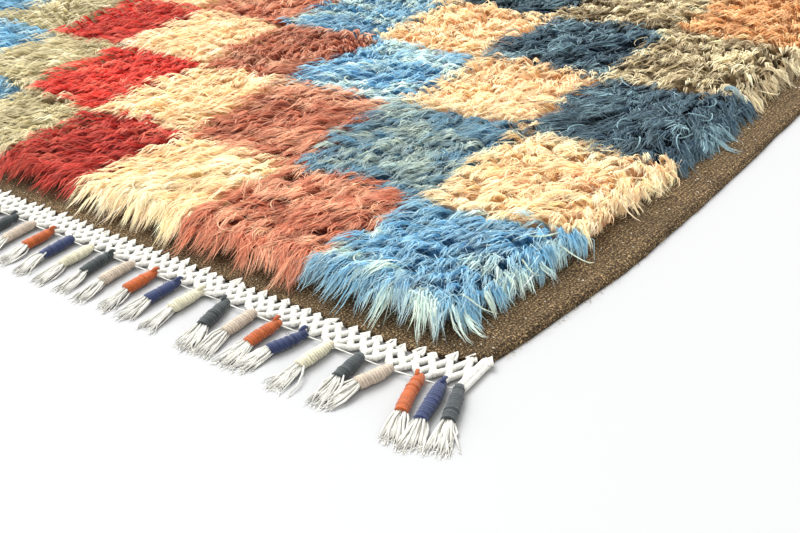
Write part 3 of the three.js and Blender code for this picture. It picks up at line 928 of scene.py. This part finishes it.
def loose_strands(shapes, foot, lean, count=26, nodes=4):
    """Cotton ends that leave the head together, drop to the floor and fan out like a brush."""
    fan = np.linspace(-1, 1, count) + RNG.normal(0, 0.15, count)
    heading = lean + math.radians(12) * fan + RNG.normal(0, math.radians(3), count)
    t = np.linspace(0, 1, nodes)[None]
    length = STRAND_LENGTH * RNG.uniform(0.74, 1.02, count)[:, None]
    bend = RNG.normal(0, 1.8 * MM, count)[:, None] * np.sin(np.pi * t * RNG.uniform(0.6, 1.6, (count, 1)))
    ahead = np.stack([np.sin(heading), -np.cos(heading)], -1)[:, None]
    side = np.stack([np.cos(heading), np.sin(heading)], -1)[:, None]
    start = np.array([math.cos(lean), math.sin(lean)]) * (3.4 * MM * fan)[:, None]
    taper = np.interp(t, [0, 0.5, 0.9, 1], [0.9, 1, 0.9, 0.25])
    radius = RNG.uniform(0.75, 1.05, count)[:, None] * MM * taper
    layer = RNG.random(count)[:, None] * 4 * MM
    flat = foot[:2] + start[:, None] + ahead * (length * t - 3 * MM)[..., None] + side * bend[..., None]
    drop = smooth_step(0, 0.6, t)
    level = radius + 0.1 * MM + layer * (1 - 0.75 * t)
    z = (foot[2] + layer - 2 * MM) * (1 - drop) + level * drop
    paths = np.concatenate([flat, z[..., None]], -1)
    white = COTTON_WHITE * RNG.uniform(0.9, 1.0, (count, 1, 1)) * np.ones((count, nodes, 3))
    tubes(shapes, paths, radius, white, sides=4)
    frayed_ends(shapes, paths[:, -1], heading)


def strand_core(shapes, foot, lean, nodes=5):
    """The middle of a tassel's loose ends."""
    t = np.linspace(0, 1, nodes)
    radius = np.interp(t, [0, 0.4, 0.9, 1], [3.2, 3.6, 4.4, 2]) * MM
    flatness = 0.35
    ahead = np.array([math.sin(lean), -math.cos(lean)]) * (0.76 * STRAND_LENGTH * t - 3 * MM)[:, None]
    z = np.maximum(foot[2] * (1 - smooth_step(0, 0.6, t)), flatness * radius + 0.1 * MM)
    path = np.concatenate([foot[:2] + ahead, z[:, None]], -1)
    # Painted shade: the core is darker than the cotton round it, as shade inside the brush of strands
    tint = np.broadcast_to(0.72 * COTTON_WHITE, (1, nodes, 3))
    tubes(shapes, path[None], radius[None], tint, sides=8, squash=flatness)


def frayed_ends(shapes, tips, heading, hairs=2):
    """Fine hairs at the cut end of each strand."""
    tip, turn = np.repeat(tips, hairs, axis=0), np.repeat(heading, hairs)
    count = len(tip)
    turn = turn + RNG.normal(0, 0.5, count)
    ahead = np.stack([np.sin(turn), -np.cos(turn), np.zeros(count)], -1)
    reach = RNG.uniform(1.5, 3.5, count)[:, None] * MM
    paths = np.stack([tip - ahead * 2 * MM, tip + ahead * reach * 0.3, tip + ahead * reach], 1)
    paths[:, 2, 2] = 0.4 * MM
    widths = np.broadcast_to(np.array([0.5, 0.4, 0]) * MM, (count, 3))
    ribbons(shapes, paths, widths, RNG.normal(0, 0.5, count), np.broadcast_to(COTTON_WHITE, (count, 3, 3)))


def band_place(x, share, height):
    """A place on the knotted band, at a share of its local width from the ground's end."""
    start, stop = end_at(x), band_edge(x)
    return np.stack([x, -(start + share * (stop - start)), np.full_like(x, height)], -1)


def band_strands(shapes, tassels):
    """Knotted openwork: peaks on the ground's end, rows of knots, and strands down to each tassel."""
    end = HALF_WIDTH - BAND_END - 4 * MM
    count = round(2 * end / MESH_PITCH)
    even = np.linspace(-end, end, count + 1)
    odd = (even[:-1] + even[1:]) / 2
    upper = band_place(even, 0.16, 3.0 * MM)
    middle = band_place(odd, 0.46, 2.7 * MM)
    lower = band_place(even, 0.76, 2.6 * MM)
    for row in (upper, middle, lower):
        row[:, :2] += RNG.normal(0, 0.7 * MM, (len(row), 2))
    peaks = upper + np.array([0, 6 * MM, 1.8 * MM])
    peaks[:, 1] += RNG.normal(0, 1.5 * MM, len(peaks))
    peaks[:, 0] += RNG.normal(0, 1.2 * MM, len(peaks))
    right_foot = upper + np.array([MESH_PITCH * 0.34, 0.5 * MM, 0.6 * MM])
    roots = band_place(tassels[:, 0], 1.02, 3.4 * MM)
    nearest = np.abs(even[:, None] - tassels[None, :, 0]).argmin(1)
    links = [
        (peaks, upper, 0.5, 2.6),
        (peaks, right_foot, 0.4, 1.5),
        (peaks, right_foot - [MESH_PITCH * 0.68, 0, 0], 0.4, 1.5),
        (upper[:-1], middle, 2.9, 2.9),
        (upper[1:], middle, 2.9, 2.9),
        (middle, lower[:-1], 2.9, 2.9),
        (middle, lower[1:], 2.9, 2.9),
        (lower, roots[nearest], 2.8, 2.2),
        (roots[:-1], roots[1:], 0.6, 0.6),
    ]
    nodes = 3
    t = np.linspace(0, 1, nodes)[None, :, None]
    for start, stop, first, last in links:
        paths = start[:, None] * (1 - t) + stop[:, None] * t
        paths[:, 1:-1] += RNG.normal(0, 0.3 * MM, paths[:, 1:-1].shape)
        radii = np.interp(t[0, :, 0], [0, 1], [first * MM, last * MM])[None] * np.ones((len(start), 1))
        colours = COTTON_WHITE * RNG.uniform(0.93, 1.0, (len(start), 1, 1)) * np.ones((len(start), nodes, 3))
        tubes(shapes, paths, radii, colours, sides=5, squash=0.7)
    for place in np.concatenate([upper, middle, lower]):
        knot(shapes, place, COTTON_WHITE * RNG.uniform(0.94, 1.0))
    for side in (-1, 1):
        corner_cord(shapes, side)


def corner_cord(shapes, side, nodes=7):
    """The thick cord that closes one end of the band, from the ground's corner to the outer tassel."""
    inset = np.linspace(23, 21, nodes) * MM
    spine = band_place(side * (HALF_WIDTH - inset), np.linspace(0.04, 1.0, nodes), 2.6 * MM)
    for offset in (-CORNER_CORD, 0, CORNER_CORD):
        path = spine + np.array([side * offset, 0, 1.2 * MM * (offset == 0)])
        tint = np.broadcast_to(COTTON_WHITE * RNG.uniform(0.93, 1), (1, nodes, 3))
        tubes(shapes, path[None], np.full((1, nodes), CORNER_CORD), tint, sides=7)


def knot(shapes, place, colour):
    """A small ridged knot."""
    rings, sides = 4, 8
    polar = np.linspace(0.35, np.pi - 0.35, rings)[:, None]
    around = np.linspace(0, 2 * np.pi, sides, endpoint=False)[None] + RNG.random() * 6
    ridge = 1 + 0.16 * np.sin(3 * around + 5 * polar)
    half_x, half_y, half_z = KNOT_HALF_SIZE
    x = half_x * ridge * np.sin(polar) * np.cos(around)
    y = half_y * ridge * np.sin(polar) * np.sin(around)
    z = half_z * ridge * np.cos(polar)
    points = np.stack([x, y, z], -1).reshape(-1, 3)
    points = np.concatenate([points, [[0, 0, half_z], [0, 0, -half_z]]]) + place
    points[:, 2] = np.maximum(points[:, 2], 0.1 * MM)
    shapes.add(points, *ring_faces(rings, sides), colour, points)


def make_fringe(node, turned):
    """One fringed end, made at the front and turned half round for the back."""
    tassels = tassel_row()
    band, heads, strands = Shapes(), Shapes(), Shapes()
    band_strands(band, tassels)
    for number, (x, lean, length) in enumerate(tassels):
        lean = math.radians(lean)
        root = np.array([x, -band_edge(x) + 1.2 * MM, 0.92 * HEAD_RADIUS + 0.2 * MM])
        foot = root + tassel_axes(lean)[0] * length
        colour = yarn_of(number)
        wrapped_head(heads, root, lean, length, colour)
        if stray(number, 4) > -0.2:
            yarn_stub(heads, root, lean, colour)
        head_fuzz(heads, root, lean, length, colour)
        loose_strands(strands, foot, lean)
        strand_core(strands, foot, lean)
    pieces = [
        band.piece(node + "_band", COTTON, "fringe_cotton", node),
        heads.piece(node + "_heads", WRAP_YARN, "fringe_cotton", node),
        strands.piece(node + "_strands", COTTON, "fringe_cotton", node),
    ]
    if turned:
        for piece in pieces:
            piece.data.transform(Matrix.Rotation(math.pi, 4, "Z"))
    return pieces


# Stage and light
FLOOR_SIZE = 200
FLOOR_DROP = 0.2 * MM
FLOOR_WHITE = (0.336, 0.34, 0.344, 1)
SKY_WHITE = (1.0, 0.99, 0.975, 1)
SKY_STRENGTH = 1.65
KEY_STRENGTH = 4.2
KEY_SPREAD = math.radians(44)
KEY_FROM = (-0.8, 0.35, 1.25)


def make_floor():
    bpy.ops.mesh.primitive_plane_add(size=FLOOR_SIZE, location=(0, 0, -FLOOR_DROP))
    floor = bpy.context.object
    floor.name = "floor"
    material, _, _, shader = new_material("floor_white", 0.6, 0.0)
    shader.inputs["Base Color"].default_value = FLOOR_WHITE
    floor.data.materials.append(material)


def make_light():
    world = bpy.data.worlds.new("studio")
    world.use_nodes = True
    sky = world.node_tree.nodes["Background"]
    sky.inputs["Color"].default_value = SKY_WHITE
    sky.inputs["Strength"].default_value = SKY_STRENGTH
    bpy.context.scene.world = world
    data = bpy.data.lights.new("key", "SUN")
    data.energy = KEY_STRENGTH
    data.angle = KEY_SPREAD
    key = bpy.data.objects.new("key", data)
    key.rotation_euler = Vector(KEY_FROM).to_track_quat("Z", "Y").to_euler()
    bpy.context.scene.collection.objects.link(key)
    bpy.context.scene.view_settings.view_transform = "Standard"


# Camera of the photograph, from the corner of the ground's straight edges in units of one check
IMAGE_WIDTH = 800
FOCAL_PIXELS = 1092.3
CAMERA_AZIMUTH, CAMERA_ELEVATION, CAMERA_ROLL = 44.28, 30.73, -8.27
CAMERA_FROM_CORNER = (2.401, -2.990, 2.969)
SENSOR = 36


def make_camera():
    data = bpy.data.cameras.new("camera")
    data.sensor_width = SENSOR
    data.lens = FOCAL_PIXELS / IMAGE_WIDTH * SENSOR
    azimuth, elevation, roll = map(math.radians, (CAMERA_AZIMUTH, CAMERA_ELEVATION, CAMERA_ROLL))
    back = Vector((
        math.sin(azimuth) * math.cos(elevation),
        -math.cos(azimuth) * math.cos(elevation),
        math.sin(elevation),
    ))
    level = Vector((math.cos(azimuth), math.sin(azimuth), 0))
    rise = back.cross(level)
    right = level * math.cos(roll) + rise * math.sin(roll)
    up = rise * math.cos(roll) - level * math.sin(roll)
    camera = bpy.data.objects.new("camera", data)
    camera.matrix_world = Matrix((right, up, back)).transposed().to_4x4()
    corner = Vector((HALF_WIDTH, -HALF_LENGTH, 0))
    camera.location = corner + Vector(CAMERA_FROM_CORNER) * CHECK_WIDTH
    bpy.context.scene.collection.objects.link(camera)
    bpy.context.scene.camera = camera


make_camera()
make_light()
make_floor()
ground = make_ground()
flecks = make_flecks()
fuzz = make_fuzz()
bed = make_bed()
pile = make_pile()
front = make_fringe("fringe_front", False)
back = make_fringe("fringe_back", True)
